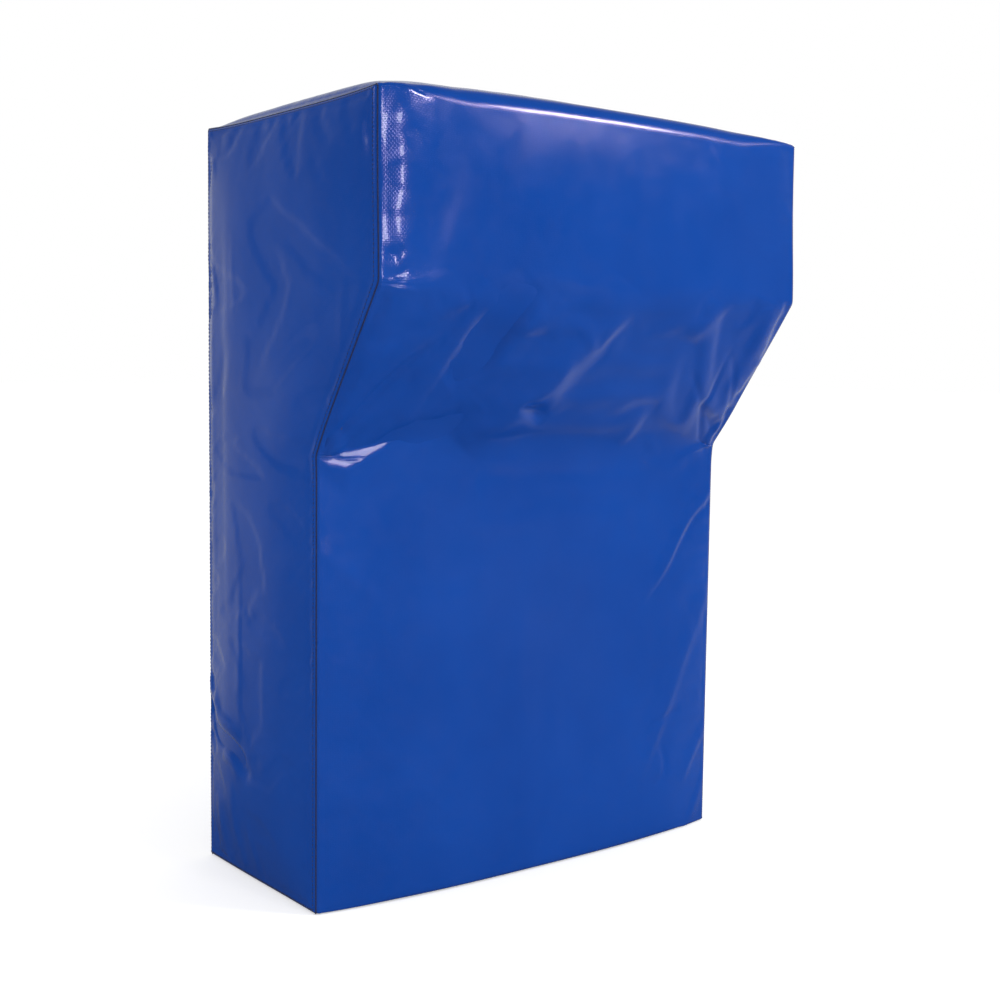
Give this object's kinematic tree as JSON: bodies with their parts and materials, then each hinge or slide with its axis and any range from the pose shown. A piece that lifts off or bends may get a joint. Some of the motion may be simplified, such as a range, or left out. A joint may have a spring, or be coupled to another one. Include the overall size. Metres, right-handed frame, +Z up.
{
  "type": "tackle shield",
  "caption": "Foam-filled vinyl tackle shield with a deep head, a slope under it and a thinner lower part, held by two webbing loops on its back.",
  "frame": {"origin": "middle of the flat base that it stands on", "axes": "+Z up, -Y out of the striking front, +Y out of the back where the hand loops are, +X across to the right as seen from the front"},
  "size_m": [0.501, 0.3891, 0.7172],
  "materials": {
    "blue_vinyl": "gloss",
    "dark_vinyl": "satin",
    "foam_soft": "matte",
    "foam_firm": "matte",
    "binding": "matte",
    "zip_tape": "matte",
    "zip_coil": "satin",
    "zip_metal": "satin",
    "webbing": "matte",
    "eyelet_brass": "polished"
  },
  "bodies": {
    "shield": {"front_wrap_panel": "blue_vinyl", "left_side_panel": "blue_vinyl", "right_side_panel": "blue_vinyl", "base_panel": "blue_vinyl", "back_panel_upper": "blue_vinyl", "back_panel_lower": "blue_vinyl", "seam_binding_left": "binding", "seam_binding_right": "binding", "foam_back_slab": "foam_firm", "foam_core_block": "foam_soft", "foam_head_wedge": "foam_soft", "foam_face_layer": "foam_soft", "vent_eyelet_1": "eyelet_brass", "vent_eyelet_2": "eyelet_brass", "vent_eyelet_3": "eyelet_brass", "vent_eyelet_4": "eyelet_brass", "zip_tape_upper": "zip_tape", "zip_tape_lower": "zip_tape", "zip_coil_upper": "zip_coil", "zip_coil_lower": "zip_coil", "zip_stop_left": "zip_metal", "zip_stop_right": "zip_metal", "zip_end_tab_left": "blue_vinyl", "zip_end_tab_right": "blue_vinyl", "arm_strap_patch_upper": "dark_vinyl", "arm_strap_patch_lower": "dark_vinyl", "arm_strap_end_upper": "webbing", "arm_strap_end_lower": "webbing", "grip_strap_patch_upper": "dark_vinyl", "grip_strap_patch_lower": "dark_vinyl", "grip_strap_end_upper": "webbing", "grip_strap_end_lower": "webbing"},
    "arm_strap": {"arm_strap_webbing": "webbing", "arm_pad_foam": "foam_soft", "arm_pad_sleeve": "dark_vinyl"},
    "grip_strap": {"grip_strap_webbing": "webbing", "grip_foam": "foam_soft", "grip_sleeve": "dark_vinyl"},
    "slider": {"zip_slider": "zip_metal", "zip_slider_base": "zip_metal"},
    "pull": {"zip_pull": "zip_metal"}
  },
  "joints": [
    {"name": "arm_strap_swing", "type": "hinge", "parent": "shield", "child": "arm_strap", "pos_m": [-0.095, 0.10405, 0.4], "axis": [0, 0, 1], "range_deg": [-35, 35]},
    {"name": "grip_strap_swing", "type": "hinge", "parent": "shield", "child": "grip_strap", "pos_m": [0.115, 0.10405, 0.4], "axis": [0, 0, 1], "range_deg": [-40, 40]},
    {"name": "zip_slide", "type": "slide", "parent": "shield", "child": "slider", "axis": [1, 0, 0], "range_m": [0, 0.368]},
    {"name": "zip_pull_turn", "type": "hinge", "parent": "slider", "child": "pull", "pos_m": [-0.184, 0.10465, 0.058], "axis": [0, 0, 1], "range_deg": [0, 170]}
  ]
}
